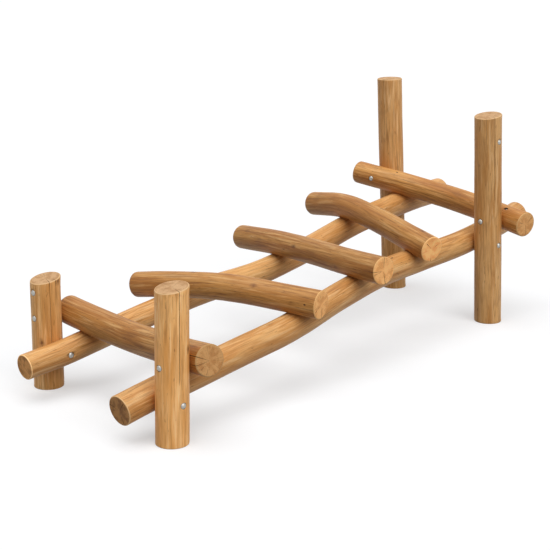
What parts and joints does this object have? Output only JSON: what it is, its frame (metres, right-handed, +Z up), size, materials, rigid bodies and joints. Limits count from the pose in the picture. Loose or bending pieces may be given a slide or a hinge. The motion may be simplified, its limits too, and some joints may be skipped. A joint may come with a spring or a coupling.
{
  "type": "log climbing bridge",
  "caption": "Sloping playground bridge of round debarked logs: crooked stringers rise between a low and a high pair of posts, with bent cross logs lying over them as steps.",
  "frame": {"origin": "on the ground under the middle of the bridge's box", "axes": "+X along the bridge from its low end to its high end, +Y from its front to its back, +Z up"},
  "size_m": [3.3235, 1.3499, 1.3591],
  "materials": {
    "post_wood": "oiled, debarked round log with sawn ends",
    "stringer_wood": "oiled, debarked round log with sawn ends",
    "cross_log_wood": "oiled, debarked round log with sawn ends",
    "bolt_steel": "galvanised, domed heads and cap nuts with washers"
  },
  "bodies": {
    "root": {"low_back_post": "post_wood", "low_front_post": "post_wood", "high_back_post": "post_wood", "high_front_post": "post_wood", "back_stringer": "stringer_wood", "front_stringer": "stringer_wood", "cross_log_1": "cross_log_wood", "cross_log_2": "cross_log_wood", "cross_log_3": "cross_log_wood", "cross_log_4": "cross_log_wood", "cross_log_5": "cross_log_wood", "bolt_low_back_stringer": "bolt_steel", "bolt_low_front_stringer": "bolt_steel", "bolt_high_back_stringer": "bolt_steel", "bolt_high_front_stringer": "bolt_steel", "bolt_low_back_log_1": "bolt_steel", "bolt_low_front_log_1": "bolt_steel", "bolt_high_back_log_5": "bolt_steel", "bolt_high_front_log_5": "bolt_steel", "spare_bolt_low_back": "bolt_steel", "spare_bolt_high_front": "bolt_steel", "seat_screw_back_1": "bolt_steel", "seat_screw_back_2": "bolt_steel", "seat_screw_back_3": "bolt_steel", "seat_screw_back_4": "bolt_steel", "seat_screw_back_5": "bolt_steel", "seat_screw_front_1": "bolt_steel", "seat_screw_front_2": "bolt_steel", "seat_screw_front_3": "bolt_steel", "seat_screw_front_4": "bolt_steel", "seat_screw_front_5": "bolt_steel"}
  },
  "joints": []
}
